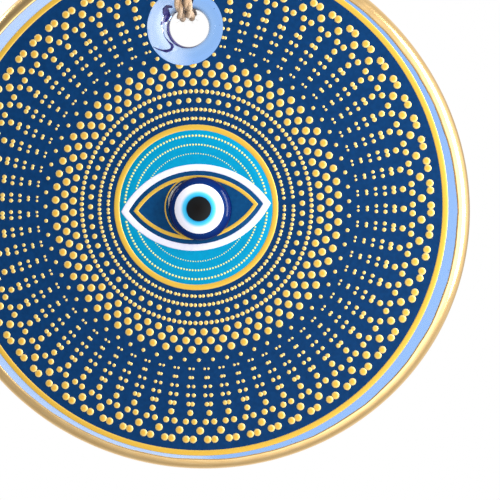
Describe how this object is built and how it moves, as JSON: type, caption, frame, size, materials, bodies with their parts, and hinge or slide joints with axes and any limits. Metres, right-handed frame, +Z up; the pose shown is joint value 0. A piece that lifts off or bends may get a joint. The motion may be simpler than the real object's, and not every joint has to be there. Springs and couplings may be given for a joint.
{
  "type": "evil eye wall ornament",
  "caption": "Round glass wall ornament with a printed eye inside rings of raised gold dots, a glued glass eye bead, a gilded edge and a knotted jute twine to hang it by.",
  "frame": {"origin": "middle of the nail or hook that the twine loop hangs on", "axes": "+Z up, the printed face looks along -Y, +X to the right seen from the front"},
  "size_m": [0.1523, 0.0159, 0.239],
  "materials": {
    "aqua_glass": "fire-polished pale blue glass with a few seeds",
    "gold_lustre": "hand-brushed gold lustre, streaky, glossy",
    "navy_enamel": "screen-printed navy enamel",
    "gold_enamel": "printed gold enamel line",
    "raised_gold_dots": "raised gold enamel dots",
    "fine_gold_dots": "fine pale gold enamel dots",
    "turquoise_enamel": "screen-printed turquoise enamel",
    "pale_enamel": "screen-printed pale lavender enamel",
    "cobalt_glass": "deep cobalt glass, glossy",
    "white_glass": "opaque white glass",
    "light_blue_glass": "opaque light blue glass that fades into the white",
    "black_glass": "opaque black glass",
    "clear_glue": "clear set glue",
    "jute_twine": "natural two-ply jute, hairy"
  },
  "bodies": {
    "hanging_loop": {"loop_strand_front": "jute_twine", "loop_strand_back": "jute_twine"},
    "knot": {"twine_knot": "jute_twine"},
    "drop": {"drop_strand_left": "jute_twine", "drop_strand_right": "jute_twine"},
    "disc": {"glass_disc": "aqua_glass", "gold_lustre_edge": "gold_lustre", "navy_ground": "navy_enamel", "gold_border": "gold_enamel", "turquoise_roundel": "turquoise_enamel", "roundel_gold_ring": "gold_enamel", "pale_almond": "pale_enamel", "navy_almond": "navy_enamel", "gold_eyelid_line": "gold_enamel", "gold_iris_ring": "gold_enamel", "bead_glue": "clear_glue", "bead_cobalt": "cobalt_glass", "bead_white": "white_glass", "bead_light_blue": "light_blue_glass", "bead_pupil": "black_glass", "inner_dot_ring_1": "raised_gold_dots", "inner_dot_ring_2": "raised_gold_dots", "inner_dot_ring_3": "raised_gold_dots", "inner_dot_ring_4": "raised_gold_dots", "inner_dot_ring_5": "raised_gold_dots", "inner_dot_ring_6": "raised_gold_dots", "inner_dot_ring_7": "raised_gold_dots", "outer_dot_ring_1": "raised_gold_dots", "outer_dot_ring_2": "raised_gold_dots", "outer_dot_ring_3": "raised_gold_dots", "outer_dot_ring_4": "raised_gold_dots", "outer_dot_ring_5": "raised_gold_dots", "outer_dot_ring_6": "raised_gold_dots", "outer_dot_ring_7": "raised_gold_dots", "outer_dot_ring_8": "raised_gold_dots", "outer_dot_ring_9": "raised_gold_dots", "outer_dot_ring_10": "raised_gold_dots", "fine_dot_ring_1": "fine_gold_dots", "fine_dot_ring_2": "fine_gold_dots", "fine_dot_ring_3": "fine_gold_dots"}
  },
  "joints": [
    {"name": "twine_twist", "type": "hinge", "parent": "hanging_loop", "child": "knot", "pos_m": [0, 0, -0.06], "axis": [0, 0, 1], "range_deg": [-180, 180]},
    {"name": "ornament_tilt", "type": "hinge", "parent": "knot", "child": "drop", "pos_m": [0, 0, -0.06], "axis": [1, 0, 0], "range_deg": [-30, 30]},
    {"name": "disc_swing", "type": "hinge", "parent": "drop", "child": "disc", "pos_m": [0, 0, -0.1056], "axis": [0, 1, 0], "range_deg": [-45, 45]}
  ]
}
